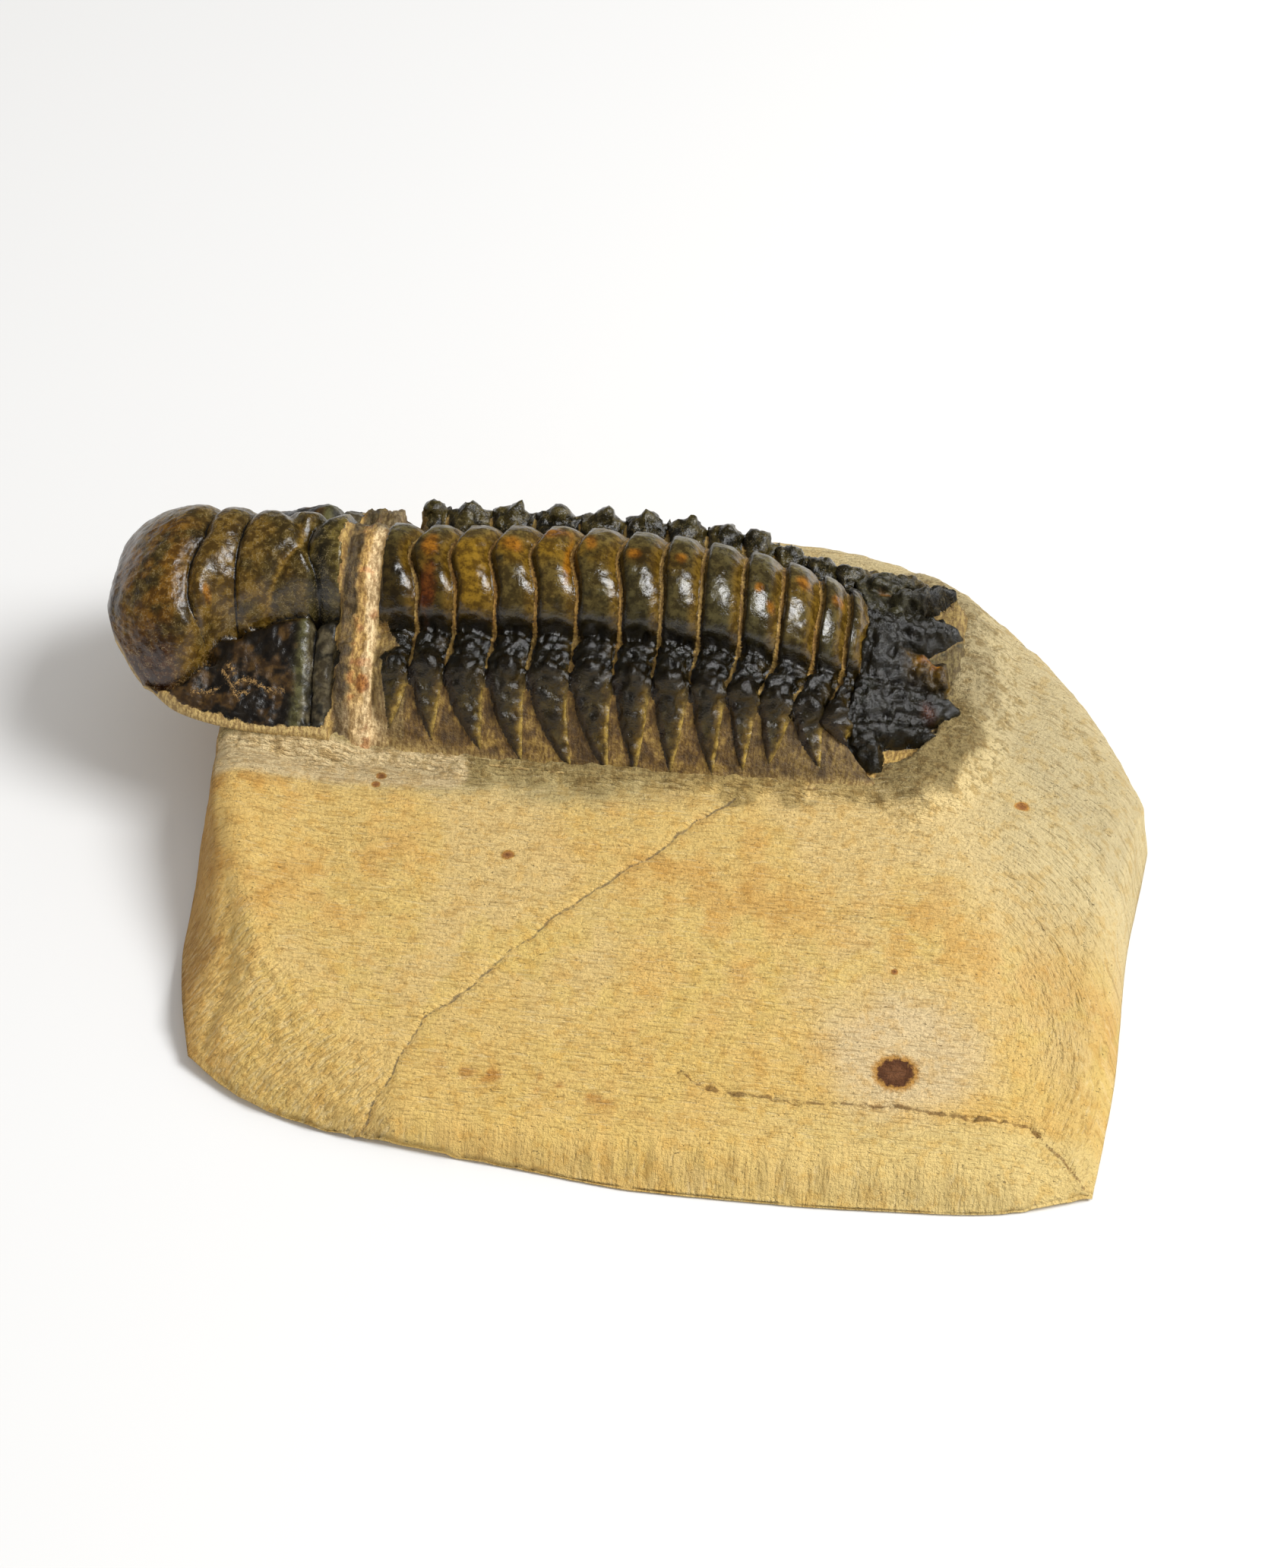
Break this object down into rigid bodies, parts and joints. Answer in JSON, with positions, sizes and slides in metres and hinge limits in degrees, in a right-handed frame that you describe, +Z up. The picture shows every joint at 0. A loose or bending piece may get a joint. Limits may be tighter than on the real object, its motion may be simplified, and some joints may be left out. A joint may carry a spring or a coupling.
{
  "type": "trilobite fossil",
  "caption": "Prepared trilobite fossil with bulging head, ringed body, side blades and spined tail, lying along a ground limestone block.",
  "frame": {"origin": "on the surface the block stands on, under the middle of the bounding box", "axes": "+X along the fossil from its head to its tail, +Y to the back, +Z up"},
  "size_m": [0.09, 0.066, 0.0234],
  "materials": {
    "limestone": "matt tan limestone, ground by hand",
    "fossil_shell": "dark brown to black fossil shell with a wet-looking gloss, paler rock in its grooves"
  },
  "bodies": {
    "root": {"matrix": "limestone", "trilobite": "fossil_shell"}
  },
  "joints": []
}
